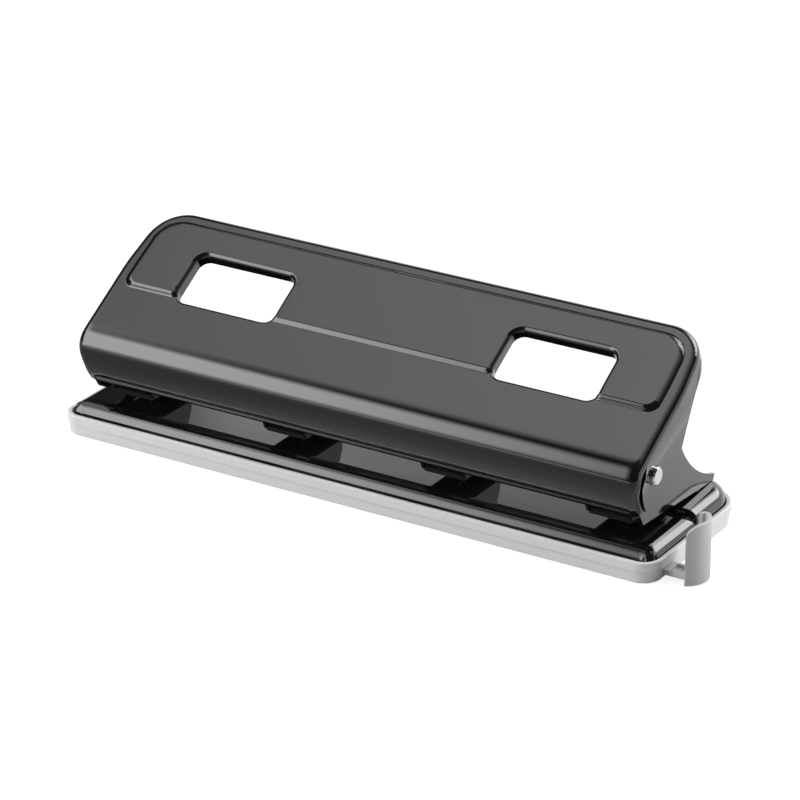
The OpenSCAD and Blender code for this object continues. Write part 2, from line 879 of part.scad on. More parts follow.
chip_tray();
bar_channel();
base_plate();
right_cheek();
left_cheek();
cheek_rivets();
punch_frame(0);  // punch_frame_1
punch_frame(1);  // punch_frame_2
punch_frame(2);  // punch_frame_3
punch_frame(3);  // punch_frame_4
frame_rivets();
die(0);  // die_1
die(1);  // die_2
die(2);  // die_3
die(3);  // die_4
pivot_rod();
rod_clips();
handle_shell();
press_rod();
hanger(-hanger_out, 1);  // rod_hanger_1
hanger(-hanger_in, 1);  // rod_hanger_2
hanger(hanger_in, 0);  // rod_hanger_3
hanger(hanger_out, 0);  // rod_hanger_4
punch_pin(0);  // punch_pin_1
punch_pin(1);  // punch_pin_2
punch_pin(2);  // punch_pin_3
punch_pin(3);  // punch_pin_4
pin_clip(0);  // pin_clip_1
pin_clip(1);  // pin_clip_2
pin_clip(2);  // pin_clip_3
pin_clip(3);  // pin_clip_4
punch_spring(0);  // punch_spring_1
punch_spring(1);  // punch_spring_2
punch_spring(2);  // punch_spring_3
punch_spring(3);  // punch_spring_4
paper_guide();
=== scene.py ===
import math

import bmesh
import bpy
from mathutils import Matrix, Vector


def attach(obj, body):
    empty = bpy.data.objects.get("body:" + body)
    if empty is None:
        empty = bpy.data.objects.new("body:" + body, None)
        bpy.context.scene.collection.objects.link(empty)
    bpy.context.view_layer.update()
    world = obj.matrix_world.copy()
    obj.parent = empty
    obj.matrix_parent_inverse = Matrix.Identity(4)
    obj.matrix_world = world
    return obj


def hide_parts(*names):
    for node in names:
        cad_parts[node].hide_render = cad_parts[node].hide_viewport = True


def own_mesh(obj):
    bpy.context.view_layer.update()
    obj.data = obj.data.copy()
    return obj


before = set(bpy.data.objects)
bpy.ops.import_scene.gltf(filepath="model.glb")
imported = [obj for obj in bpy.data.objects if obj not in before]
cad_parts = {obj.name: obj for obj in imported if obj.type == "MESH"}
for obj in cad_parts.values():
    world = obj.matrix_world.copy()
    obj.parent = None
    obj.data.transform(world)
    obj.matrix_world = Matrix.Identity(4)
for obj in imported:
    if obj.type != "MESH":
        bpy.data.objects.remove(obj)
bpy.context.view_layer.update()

# Chip tray
# A shallow tray of pale grey moulded plastic that catches the punched-out chips.
# It is pushed over the steel base from below, so its rim shows as a thin pale lip all round.


def mm(*values):
    """Millimetres as metres, one value or several."""
    made = [v * 0.001 for v in values]
    return made[0] if len(made) == 1 else made


class Shade:
    """One socket of a material's nodes; sums written with it add Math nodes."""

    def __init__(self, tree, socket=None):
        self.tree, self.socket = tree, socket

    def node(self, kind, settings=None, inputs=None, out=0):
        """Adds a node, sets it up, fills or links its sockets and gives one of its outputs."""
        made = self.tree.nodes.new(kind)
        for name, value in (settings or {}).items():
            setattr(made, name, value)
        for name, value in (inputs or {}).items():
            if isinstance(value, Shade):
                self.tree.links.new(value.socket, made.inputs[name])
            else:
                made.inputs[name].default_value = value
        return Shade(self.tree, made.outputs[out])

    def maths(self, operation, a, b):
        return self.node("ShaderNodeMath", {"operation": operation}, {0: a, 1: b})

    def __add__(self, other):
        return self.maths("ADD", self, other)

    def __sub__(self, other):
        return self.maths("SUBTRACT", self, other)

    def __rsub__(self, other):
        return self.maths("SUBTRACT", other, self)

    def __mul__(self, other):
        return self.maths("MULTIPLY", self, other)

    __radd__ = __add__
    __rmul__ = __mul__


def new_finish(name, steady):
    """A material, its shader with the steady values set, and its place coordinates."""
    material = bpy.data.materials.new(name)
    material.use_nodes = True
    shader = material.node_tree.nodes["Principled BSDF"]
    for socket, value in steady.items():
        shader.inputs[socket].default_value = value
    place = Shade(material.node_tree).node("ShaderNodeTexCoord", out="Object")
    return material, shader, place


def feed(shader, **links):
    """Leads varying values to the shader's sockets."""
    for name, value in links.items():
        value.tree.links.new(value.socket, shader.inputs[name.replace("_", " ")])


def speckle(place, per_metre, detail):
    """Soft random variation, about 0 to 1, with so many patches to the metre."""
    return place.node("ShaderNodeTexNoise", None,
                      {"Vector": place, "Scale": per_metre, "Detail": detail})


def blend_tones(factor, dark, light):
    """A colour between two tones."""
    factor_in, dark_in, light_in, colour_out = 0, 6, 7, 2
    return factor.node("ShaderNodeMix", {"data_type": "RGBA"},
                       {factor_in: factor, dark_in: (*dark, 1), light_in: (*light, 1)},
                       out=colour_out)


def bumps(height, depth, strength):
    """Surface relief of that depth in metres."""
    return height.node("ShaderNodeBump", None,
                       {"Height": height, "Distance": depth, "Strength": strength})


def new_sheet():
    """An empty mesh whose points keep a way out of the sheet and a way onwards from it."""
    bm = bmesh.new()
    layers = bm.verts.layers.float_vector
    return bm, layers.new("out"), layers.new("into")


def rounded_face(bm, corners, radii, segments):
    """A flat face on these corner points, each corner rounded to its radius."""
    points = [bm.verts.new((x, y, 0)) for x, y in corners]
    bm.faces.new(points)
    for point, r in zip(points, radii):
        if r > 0:
            bmesh.ops.bevel(bm, geom=[point], offset=r, affect="VERTICES",
                            segments=segments, profile=0.5, material=-1)


def note_outward(edges, out):
    """Keeps at each point of a flat sheet's edge the way out of the sheet, mitred at corners."""
    ways = {}
    for e in edges:
        loop = e.link_loops[0]
        run = (loop.link_loop_next.vert.co - loop.vert.co).normalized()
        for v in e.verts:
            ways.setdefault(v, []).append(run.cross(Vector((0, 0, 1))))
    for v, found in ways.items():
        both = found[0] + found[-1]
        v[out] = both / (1 + found[0].dot(found[-1]))


def arc_steps(r, start, end, count):
    """Moves along an arc as (outwards, onwards) pairs; angle 0 leads out and 90 onwards."""
    turn = math.radians(end - start) / count
    chord = 2 * r * math.sin(abs(turn) / 2)
    angles = [math.radians(start) + turn * (i + 0.5) for i in range(count)]
    return [(chord * math.cos(a), chord * math.sin(a)) for a in angles]


def only(kind, geom):
    """The points or the edges among what an operator made."""
    return [g for g in geom if isinstance(g, kind)]


def draw_wall(bm, edges, out, into, steps):
    """Draws a wall out of an edge, step by step, and gives its last edge."""
    for go, on in steps:
        made = bmesh.ops.extrude_edge_only(bm, edges=edges)["geom"]
        new = set(only(bmesh.types.BMVert, made))
        edges = [e for e in only(bmesh.types.BMEdge, made) if set(e.verts) <= new]
        for v in new:
            v.co += v[out] * go + v[into] * on
    return edges


def make_piece(bm, name, material, body, nodes, sharp=35):
    """Makes the mesh a smooth-shaded piece on its body, standing for its CAD nodes."""
    mesh = bpy.data.meshes.new(name)
    bm.to_mesh(mesh)
    bm.free()
    mesh.shade_smooth()
    mesh.set_sharp_from_angle(angle=math.radians(sharp))
    mesh.materials.append(material)
    piece = bpy.data.objects.new(name, mesh)
    bpy.context.scene.collection.objects.link(piece)
    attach(piece, body)
    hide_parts(*nodes)
    return piece


def even_normals(piece):
    """Keeps wide flats flat where they run into bends."""
    piece.modifiers.new("flats", "WEIGHTED_NORMAL").keep_sharp = True


tray_x, tray_front, tray_rear = mm(149, -41.75, 41.75)
tray_front_r, tray_rear_r = mm(9, 18)
tier_set, tier_h, rim_h, rim_w, floor_t = mm(0.7, 5, 9.5, 2.1, 1.6)
foot_r, lip_r, tier_r = mm(0.8, 0.5, 0.35)
foot_in = tier_set + foot_r

bm, out, into = new_sheet()
foot_x, foot_front, foot_rear = tray_x - foot_in, tray_front + foot_in, tray_rear - foot_in
rounded_face(bm, [(-foot_x, foot_front), (foot_x, foot_front),
                  (foot_x, foot_rear), (-foot_x, foot_rear)],
             [tray_front_r - foot_in] * 2 + [tray_rear_r - foot_in] * 2, segments=14)
note_outward(bm.edges, out)
for v in bm.verts:
    v[into] = (0, 0, 1)
tray_wall = [
    *arc_steps(foot_r, 0, 90, 4),
    (0, tier_h - foot_r - tier_r),
    *arc_steps(tier_r, 90, 0, 3),
    *arc_steps(tier_r, 0, 90, 3),
    (0, rim_h - tier_h - tier_r - lip_r),
    *arc_steps(lip_r, 90, 180, 4),
    (-(rim_w - 2 * lip_r), 0),
    *arc_steps(lip_r, 180, 270, 4),
    (0, floor_t + lip_r - rim_h),
]
tray_floor = draw_wall(bm, bm.edges[:], out, into, tray_wall)
bmesh.ops.contextual_create(bm, geom=tray_floor)
bmesh.ops.recalc_face_normals(bm, faces=bm.faces)

tray_plastic, shader, place = new_finish("tray_plastic", {"IOR": 1.49})
cloud = speckle(place, per_metre=35, detail=3)
grain = speckle(place, per_metre=2600, detail=1)
feed(shader,
     Base_Color=blend_tones(cloud, dark=(0.76, 0.765, 0.765), light=(0.82, 0.825, 0.825)),
     Roughness=0.42 + 0.12 * cloud,
     Normal=bumps(grain, depth=mm(0.02), strength=0.35))
tray = make_piece(bm, "tray_body", tray_plastic, "base", ["chip_tray"])
even_normals(tray)


def coat(material, *names):
    """Gives CAD nodes that keep their own shape this finish."""
    for name in names:
        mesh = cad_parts[name].data
        mesh.materials.clear()
        mesh.materials.append(material)


coat(tray_plastic, "bar_channel")

# Base plate
# Deep-drawn sheet steel, black lacquered: the paper table in front, a raised rear platform whose
# step is the paper stop, and a rounded edge turned down all round into the tray.
hair = mm(0.001)  # points closer than this count as one


def everything(bm):
    """All of a mesh, for an operator."""
    return bm.verts[:] + bm.edges[:] + bm.faces[:]


def points_of(edges):
    """The points that these edges join, each once."""
    return list(dict.fromkeys(v for e in edges for v in e.verts))


def cut_out(bm):
    """Fills a flat blank inside its outline and outside its holes."""
    bmesh.ops.delete(bm, geom=bm.faces[:], context="FACES_ONLY")
    bmesh.ops.triangle_fill(bm, edges=bm.edges[:], use_beauty=True, normal=(0, 0, 1))
    bm.normal_update()
    if sum(f.normal.z for f in bm.faces) < 0:
        bmesh.ops.reverse_faces(bm, faces=bm.faces)
        bm.normal_update()


def score(bm, axis, places):
    """Scores the blank across at these places, so that the press can follow them."""
    touching, too_close = mm(0.0001, 0.03)
    normal = Vector((1, 0, 0)) if axis == "X" else Vector((0, 1, 0))
    for place in places:
        bmesh.ops.bisect_plane(bm, geom=everything(bm), dist=touching,
                               plane_co=normal * place, plane_no=normal)
    bmesh.ops.remove_doubles(bm, verts=bm.verts, dist=too_close)


def spread(start, end, step):
    """Places from start to end, about a step apart."""
    count = max(1, round(abs(end - start) / step))
    return [start + (end - start) * i / count for i in range(count + 1)]


def soft_step(t):
    """From 0 to 1 in a soft S."""
    t = min(max(t, 0.0), 1.0)
    return t * t * (3 - 2 * t)


def on_line(edge, axis, place):
    """True if both ends of the edge lie at that place on the axis."""
    return all(abs(v.co[axis] - place) < hair for v in edge.verts)


def draw_down(bm, edges, out, into, z):
    """Draws a wall straight on from an edge to an even end at that height."""
    for v in points_of(draw_wall(bm, edges, out, into, [(0, 0)])):
        v.co.z = z


def face_up(bm, seen):
    """Turns an open sheet so that the faces that the test counts look the wanted way."""
    bmesh.ops.recalc_face_normals(bm, faces=bm.faces)
    bm.normal_update()
    if sum(seen(f) * f.calc_area() for f in bm.faces) < 0:
        bmesh.ops.reverse_faces(bm, faces=bm.faces)
        bm.normal_update()


def mirror_half(bm):
    """Adds the other half of a piece across the middle plane."""
    bmesh.ops.mirror(bm, geom=everything(bm), axis="X", merge_dist=hair)
    bmesh.ops.remove_doubles(bm, verts=bm.verts, dist=hair)


def thicken(piece, sheet):
    """Gives the outer skin its sheet thickness, inwards, with crisp cut edges."""
    solid = piece.modifiers.new("sheet", "SOLIDIFY")
    solid.thickness = sheet
    solid.offset = -1
    solid.use_quality_normals = True
    crisp = piece.modifiers.new("cut_edges", "EDGE_SPLIT")
    crisp.split_angle = math.radians(40)


plate_x, plate_y, plate_sheet = mm(146.6, 39.35, 1.5)
side_r, brow_start, brow_r, front_r = mm(5.5, 28.6, 10, 6.6)
brow_turn, steep_share, steep_fall = math.radians(30), 0.996, 8
plate_front_r, plate_rear_r = mm(7.5, 16)
table_z, platform_z, skirt_z, skirt_least = mm(13.2, 16, 5.2, 0.1)
stop_y, stop_w, stop_pitch, brow_pitch = mm(0.9, 2.2, 0.2, 0.5)
stations, punch_y, die_r, die_edge = mm(-120, -40, 40, 120), *mm(-10, 5.52, 0.5)
table_from = mm(12)

bm, out, into = new_sheet()
flat_x, flat_y = plate_x - side_r, plate_y - side_r
rounded_face(bm, [(0, -flat_y), (flat_x, -flat_y), (flat_x, flat_y), (0, flat_y)],
             [0, plate_front_r - side_r, plate_rear_r - side_r, 0], segments=12)
for station in stations[2:]:
    bmesh.ops.create_circle(bm, radius=die_r, segments=40,
                            matrix=Matrix.Translation((station, punch_y, 0)))
cut_out(bm)
score(bm, "Y", [*spread(stop_y, stop_y + stop_w, stop_pitch),
                *spread(-brow_start, -flat_y, brow_pitch)[:-1]])


def at_die(v):
    """True on the edge of a die's hole."""
    return any((v.co - Vector((s, punch_y, 0))).length < die_r + die_edge for s in stations)


rim = [e for e in bm.edges if e.is_boundary and not on_line(e, 0, 0)
       and not any(at_die(v) for v in e.verts)]
note_outward(rim, out)
for v in bm.verts:
    v[into] = (0, 0, -1)
    v.co.z = table_z + (platform_z - table_z) * soft_step((v.co.y - stop_y) / stop_w)
low_edge = draw_wall(bm, rim, out, into, arc_steps(side_r, 0, 90, 10))


def brow_drop(past):
    """How far the front edge has come down so far past its start: brow, front bend, steep end."""
    brow_w = brow_r * math.sin(brow_turn)
    if past <= brow_w:
        return brow_r - math.sqrt(brow_r ** 2 - past ** 2)
    middle_w = brow_w - front_r * math.sin(brow_turn)
    middle_z = brow_r - (brow_r - front_r) * math.cos(brow_turn)
    reached = min(past - middle_w, front_r * steep_share)
    steep_w = past - middle_w - reached
    return middle_z - math.sqrt(front_r ** 2 - reached ** 2) + steep_fall * steep_w


for v in bm.verts:
    if v.co.y < -brow_start:
        past_side = min(max(v.co.x - flat_x, 0), side_r)
        side_drop = side_r - math.sqrt(side_r ** 2 - past_side ** 2)
        drop = math.hypot(side_drop, brow_drop(-v.co.y - brow_start))
        v.co.z = max(table_z - drop, skirt_z + skirt_least)
draw_down(bm, low_edge, out, into, skirt_z)
mirror_half(bm)
face_up(bm, lambda f: f.normal.z if f.calc_center_median().z > table_from else 0)

lacquer, shader, place = new_finish("black_lacquer", {
    "IOR": 1.5, "Coat Weight": 1.0, "Coat Roughness": 0.05, "Coat IOR": 1.5})
haze = speckle(place, per_metre=22, detail=3)
peel = speckle(place, per_metre=420, detail=1)
feed(shader,
     Base_Color=blend_tones(haze, dark=(0.0045, 0.0045, 0.005), light=(0.007, 0.007, 0.0075)),
     Roughness=0.07 + 0.03 * haze,
     Normal=bumps(peel, depth=mm(0.004), strength=0.25))
base_plate = make_piece(bm, "base_sheet", lacquer, "base", ["base_plate"])
thicken(base_plate, plate_sheet)
even_normals(base_plate)

# Die rings
# Four rings of hardened steel, turned on a lathe and pressed into holes of the base plate;
# the punches shear the paper on their edges.


def each_station(name):
    """The names of a node that is there once at each of the four stations."""
    return ["%s_%d" % (name, n) for n in range(1, len(stations) + 1)]


plain_steel, shader, place = new_finish("plain_steel", {"Metallic": 1.0})
smear = speckle(place, per_metre=160, detail=3)
lathe = speckle(place, per_metre=1800, detail=1)
feed(shader,
     Base_Color=blend_tones(smear, dark=(0.36, 0.365, 0.375), light=(0.50, 0.505, 0.515)),
     Roughness=0.24 + 0.16 * smear,
     Normal=bumps(lathe, depth=mm(0.004), strength=0.3))
coat(plain_steel, *each_station("die"))

# Punch frames and their rivets
# Four folded brackets of black steel, riveted behind the paper stop; each guides one punch
# and carries the pivot rod in its two ears.
satin_black, shader, place = new_finish("satin_black", {"IOR": 1.45, "Specular IOR Level": 0.3})
smear = speckle(place, per_metre=90, detail=3)
grain = speckle(place, per_metre=1500, detail=1)
feed(shader,
     Base_Color=blend_tones(smear, dark=(0.006, 0.006, 0.0065), light=(0.011, 0.011, 0.0115)),
     Roughness=0.38 + 0.16 * smear,
     Normal=bumps(grain, depth=mm(0.006), strength=0.3))
coat(satin_black, *each_station("punch_frame"))
coat(plain_steel, "frame_rivets")

# End cheeks
# Two pressed side plates of black steel riveted to the platform; they close the ends,
# carry the pivot rod and sweep back in a hollow curve to a low tail.
coat(lacquer, "right_cheek", "left_cheek")
coat(plain_steel, "cheek_rivets")

# Pivot rod and its clips
# A bright plated steel rod through all frames and cheeks, kept from sliding by steel clips;
# its polished ends show in the wings.
bright_rod, shader, place = new_finish("bright_rod", {"Metallic": 1.0})
bloom = speckle(place, per_metre=240, detail=2)
feed(shader,
     Base_Color=blend_tones(bloom, dark=(0.80, 0.80, 0.80), light=(0.90, 0.90, 0.895)),
     Roughness=0.10 + 0.08 * bloom)
coat(bright_rod, "pivot_rod")
coat(plain_steel, "rod_clips")

# Punches and their clips
# Four ground steel pins with a roof-shaped cutting tip, which slide in the frames;
# each has a snap ring for its spring.
coat(plain_steel, *each_station("punch_pin"), *each_station("pin_clip"))

# Return springs
# Round steel wire wound to open coils round the punches, between the frame and the snap ring;
# each lifts its punch.
coil_r, wire_r, coil_low, coil_high, coil_seat = mm(4.2, 0.4, 20.7, 30.3, 20.3)
coil_turns, steps_a_turn, coil_keep = 4.5, 28, 0.44

for n, station in enumerate(stations, 1):
    bm = bmesh.new()
    centre = Vector((station, punch_y, coil_low))
    upright = Matrix.Rotation(math.radians(90), 4, "X")
    bmesh.ops.create_circle(bm, cap_ends=True, radius=wire_r, segments=10,
                            matrix=Matrix.Translation(centre + Vector((coil_r, 0, 0))) @ upright)
    steps = int(coil_turns * steps_a_turn)
    rise = Vector((0, 0, (coil_high - coil_low) / steps))
    bmesh.ops.spin(bm, geom=everything(bm), cent=centre, axis=(0, 0, 1),
                   dvec=rise, angle=2 * math.pi * coil_turns, steps=steps)
    bmesh.ops.recalc_face_normals(bm, faces=bm.faces)
    spring = make_piece(bm, "spring_coil_%d" % n, plain_steel, "base",
                        ["punch_spring_%d" % n], sharp=60)
    "punch_slide_%d" % n
    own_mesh(spring)

# Press rod and its hangers
# A plain steel rod across all four punches, which pushes them down; it lies in the eyes of
# four black steel plates under the handle.
coat(plain_steel, "press_rod")
coat(satin_black, *each_station("rod_hanger"))

# Handle
# One pressed steel sheet in gloss black: a sloping plate with a raised panel and two flanged
# windows, side wings that hang on the pivot rod, a turned-down rear rim and a curled front lip.
slope = math.radians(31)
pivot = Vector(mm(0, -23.5, 41.3))
# Until it is turned to its slope, x runs across, w back along the plate and n out of it
handle_x, handle_sheet, handle_bend, plate_off = mm(138.75, 1.2, 3.8, 14.2)
reach, rear_corner, rim_d, plate_from = mm(66.6, 18, 8, 13.5)
nose_w, nose_n, nose_r, lip_w, lip_n = mm(-5.53, 4.2, 10, 6.47, -3.01)
lead_w, side_start, wing_far = mm(4.5, -3.53, 54.6)
lead_turn, nose_end, lip_sweep, slit_bend = 4.5, 59, 42, 85  # degrees
window_x, window_half, window_low, window_top = mm(80, 25.25, 19.3, 44.8)
window_corner, window_bend, window_d, window_ease = mm(5, 2, 5, 10)
panel_x, panel_low, panel_top, panel_low_r, panel_top_r = mm(133.7, 19.9, 61.0, 6, 14)
panel_h, panel_end_h, end_from, end_over = mm(1.0, 1.6, 46, 84)
low_step, top_step, shoulder_r, low_ease = *mm(3.4, 3.0, 4.2), 1.6
side_step = math.sqrt(shoulder_r ** 2 - (shoulder_r - panel_end_h) ** 2)
flare, flare_from, flare_over, flare_high, flare_fade = mm(1.3, 133.4, 2, 9, 26)
drawn_in, drawn_from, drawn_over, drawn_fade, back_from = mm(0.6, 105, 22, 24, 30)
slack = mm(0.1)


def panel_rise(x, w):
    """Height of the raised panel over the plate: long and soft below, rounded at the sides."""
    middle, half = (panel_low + panel_top) / 2, (panel_top - panel_low) / 2
    upper = w > middle
    r = panel_top_r if upper else panel_low_r
    over_x, over_w = abs(x) - (panel_x - r), abs(w - middle) - (half - r)
    inside = r - math.hypot(max(over_x, 0), max(over_w, 0)) - min(max(over_x, over_w), 0)
    if inside <= 0:
        return 0.0
    if min(over_x, over_w) > 0:
        side = over_x ** 2 / (over_x ** 2 + over_w ** 2)
    else:
        side = 1.0 if over_x > over_w else 0.0
    short = max(side_step - inside, 0)
    rounded = panel_end_h - shoulder_r + math.sqrt(shoulder_r ** 2 - short ** 2)
    high = panel_h + (panel_end_h - panel_h) * soft_step((abs(x) - end_from) / end_over)
    t = min(inside / (top_step if upper else low_step), 1.0)
    if not upper:
        t = 1 - (1 - t) ** low_ease
    drawn = high * (t - math.sin(2 * math.pi * t) / (2 * math.pi))
    return side * min(rounded, high) + (1 - side) * drawn


def bowed(x, w, n):
    """Where the press leaves a point of the right half across: edge flared, drawn in behind."""
    wider = (flare * soft_step((x - flare_from) / flare_over) * soft_step(n / flare_high)
             * (1 - soft_step((w - back_from) / flare_fade)))
    narrower = (drawn_in * soft_step((x - drawn_from) / drawn_over)
                * soft_step((w - back_from) / drawn_fade))
    return x + wider - narrower


bm, out, into = new_sheet()
side_x, rear_w = handle_x - handle_bend, reach - handle_bend
lead = math.radians(lead_turn)
front_w, sink = nose_w - nose_r * math.sin(lead), lead_w * math.tan(lead) / 2
lower = nose_n + nose_r * math.cos(lead) - plate_off + sink
rounded_face(bm, [(0, front_w), (side_x, front_w), (side_x, rear_w), (0, rear_w)],
             [0, 0, rear_corner - handle_bend, 0], segments=12)
half, low, top = window_half + window_bend, window_low - window_bend, window_top + window_bend
corner_r = window_corner + window_bend
rounded_face(bm, [(window_x - half, low), (window_x + half, low),
                  (window_x + half, top), (window_x - half, top)],
             [corner_r] * 4, segments=10)
cut_out(bm)

corner_mid = Vector((handle_x - rear_corner, reach - rear_corner))
wing_cut = corner_mid.y + (wing_far - corner_mid.y) * (rear_corner - handle_bend) / rear_corner
low_end, top_start = panel_low + low_step, panel_top - top_step
open_from, open_to, open_pitch, ease_w, ease_pitch = mm(26, 46, 4, 2, 0.7)
lead_pitch, low_pitch, corner_pitch, step_pitch = mm(0.5, 0.25, 0.8, 0.3)
score(bm, "Y", [side_start, wing_cut,
                *spread(front_w + lead_w, front_w, lead_pitch)[:-1],
                *spread(open_from, open_to, open_pitch),
                *spread(panel_low, low_end, low_pitch),
                *spread(low_end, low_end + ease_w, ease_pitch),
                *spread(panel_top - panel_top_r, top_start, corner_pitch),
                *spread(top_start, panel_top, step_pitch)])
score(bm, "X", [*spread(panel_x - panel_top_r, panel_x - side_step, corner_pitch),
                *spread(panel_x - side_step, panel_x, step_pitch), panel_x / 2])

at_window = [e for e in bm.edges if e.is_boundary and all(
    abs(v.co.x - window_x) < half + slack and low - slack < v.co.y < top + slack for v in e.verts)]
rim = [e for e in bm.edges if e.is_boundary and e not in at_window and not on_line(e, 0, 0)
       and not on_line(e, 1, front_w) and min(v.co.y for v in e.verts) > side_start - hair]
front_edge = [e for e in bm.edges if on_line(e, 1, front_w)]
note_outward(at_window + rim, out)
for v in points_of(at_window):
    side, fore = v.co.x - window_x, v.co.y - (low + top) / 2
    round_x, round_w = abs(side) - half + corner_r, abs(fore) - (top - low) / 2 + corner_r
    if min(round_x, round_w) > 0:
        from_mid = Vector((math.copysign(round_x, side), math.copysign(round_w, fore), 0))
        v[out] = -from_mid.normalized()
for v in bm.verts:
    v.co.z = plate_off + panel_rise(v.co.x, v.co.y)
    v.co.z -= sink * (max(front_w + lead_w - v.co.y, 0) / lead_w) ** 2
    v[into] = (0, 0, -1)

# Curled front lip: the sheet's front edge rolled over a small radius, then over a wide one
for curl_w, curl_n, sweep, steps in ((nose_w, nose_n, nose_end - lead_turn, 16),
                                     (lip_w, lip_n, lip_sweep, 14)):
    middle = Vector((0, curl_w, curl_n - lower))
    before = set(bm.verts)
    made = bmesh.ops.spin(bm, geom=points_of(front_edge) + front_edge, cent=middle,
                          axis=(1, 0, 0), angle=math.radians(sweep), steps=steps)
    front_edge = only(bmesh.types.BMEdge, made["geom_last"])
    for v in set(bm.verts) - before:
        way = middle - v.co
        way.x = 0
        v[into] = way.normalized()
slit = [e for e in bm.edges if e.is_boundary and on_line(e, 0, side_x) and e not in rim]
for v in points_of(slit):
    v[out] = (1, 0, 0)
draw_wall(bm, slit, out, into, arc_steps(handle_bend, 0, slit_bend, 6))
for v in points_of(rim):
    v[into] = (0, 0, -1)

# Turned-in window edges and the turned-down side and rear edges
turned, drop = at_window, 0
window_steps = arc_steps(window_bend, 0, 90, 6)
for to_go, step in zip(range(len(window_steps), 0, -1), window_steps):
    turned = draw_wall(bm, turned, out, into, [step])
    drop += step[1]
    for v in points_of(turned):
        eased = panel_rise(v.co.x, (low + top) / 2) * soft_step((v.co.y - low) / window_ease)
        v.co.z += (plate_off + eased - drop - v.co.z) / to_go
draw_down(bm, turned, out, into, plate_off + panel_h - window_d)
bent = draw_wall(bm, rim, out, into, arc_steps(handle_bend, 0, 90, 9))
at_wing = [e for e in bent if min(v.co.x for v in e.verts) > corner_mid.x
           and max(v.co.y for v in e.verts) < wing_far + slack]
draw_wall(bm, [e for e in bent if e not in at_wing], out, into, [(0, rim_d - handle_bend)])

# Side wing: a flat cheek of the same sheet, hollow behind, bored for the pivot rod
wing_toe, wing_low = Vector(mm(-12.2, -9.6)), Vector(mm(15, -16))
wing_end = Vector((wing_far, plate_off - rim_d))
wing_front = [mm(-12.3, -7), mm(-11.5, -2.3), mm(-9.9, 2.6), mm(-6.53, 6.2)]
hollow_r, heel_r, bore_r = mm(141, 5, 4.2)
span = wing_end - wing_low
across = Vector((span.y, -span.x)).normalized()
hollow_mid = wing_low + span / 2 + across * math.sqrt(hollow_r ** 2 - (span.length / 2) ** 2)


def bearing(way):
    """The angle of a way in the wing's plane."""
    return math.atan2(way.y, way.x)


run = (wing_low - wing_toe).normalized()
heel_turn = bearing(wing_low - hollow_mid) - math.radians(90) - bearing(run)
heel_start = wing_low - run * heel_r * math.tan(heel_turn / 2)
heel_mid = heel_start + Vector((-run.y, run.x)) * heel_r


def wing_point(p):
    """A new point of the wing's outline."""
    return bm.verts.new((handle_x, *p))


def round_on(tip, middle, turn, steps):
    """Leads the wing's outline on from its tip along an arc, and gives the new tip."""
    made = bmesh.ops.spin(bm, geom=[tip], cent=(handle_x, *middle), axis=(1, 0, 0),
                          angle=turn, steps=steps)
    return only(bmesh.types.BMVert, made["geom_last"])[0]


before = set(bm.edges)
toe, heel = wing_point(wing_toe), wing_point(heel_start)
bm.edges.new((toe, heel))
heel_end = round_on(heel, heel_mid, heel_turn, 6)
hollow_turn = bearing(wing_end - hollow_mid) - bearing(heel_end.co.yz - hollow_mid)
hollow_end = round_on(heel_end, hollow_mid, hollow_turn, 16)
top_front = min(points_of(at_wing), key=lambda v: v.co.y)
front_line = [toe, *[wing_point(p) for p in wing_front], top_front]
for pair in zip(front_line, front_line[1:]):
    bm.edges.new(pair)
for v in points_of([e for e in bm.edges if e not in before]):
    if v.co.y > corner_mid.y:
        v.co.x = corner_mid.x + math.sqrt(rear_corner ** 2 - (v.co.y - corner_mid.y) ** 2)
rear_top = max(points_of(at_wing), key=lambda v: v.co.y)
rear_drop = min(rear_top.link_edges, key=lambda e: e.other_vert(rear_top).co.z)
bmesh.ops.weld_verts(bm, targetmap={hollow_end: rear_drop.other_vert(rear_top)})
sideways = Matrix.Rotation(math.radians(90), 4, "Y")
bmesh.ops.create_circle(bm, radius=bore_r, segments=36,
                        matrix=Matrix.Translation((handle_x, 0, 0)) @ sideways)
outline = [e for e in bm.edges if e not in before]
bmesh.ops.triangle_fill(bm, edges=[*at_wing, *outline, rear_drop], use_beauty=True,
                        normal=(1, 0, 0))

for v in bm.verts:
    v.co.x = bowed(*v.co)
mirror_half(bm)
face_up(bm, lambda f: f.normal.z if f.calc_center_median().z > plate_from else 0)
bmesh.ops.transform(bm, verts=bm.verts,
                    matrix=Matrix.Translation(pivot) @ Matrix.Rotation(slope, 4, "X"))
handle = make_piece(bm, "handle_sheet", lacquer, "handle", ["handle_shell"])
thicken(handle, handle_sheet)
even_normals(handle)

# Paper guide
# Mid grey moulded plastic: a flat bar that slides in the tray and, on its end, a curved stop
# with a rolled rear edge that sets the paper's place.
stop_mid, stop_r, stop_wall = Vector(mm(155.4, -25.05, 0)), *mm(9.45, 1.7)
stop_low, stop_top, stop_round, round_foot, roll_r = mm(0.6, 27.6, 5, 5.1, 1.7)
stop_from, stop_to, roll_turn = [math.radians(angle) for angle in (-64, 47, 140)]


def round_axis(r, angle):
    """The way from an upright axis to a point round it."""
    return Vector((r * math.cos(angle), r * math.sin(angle), 0))


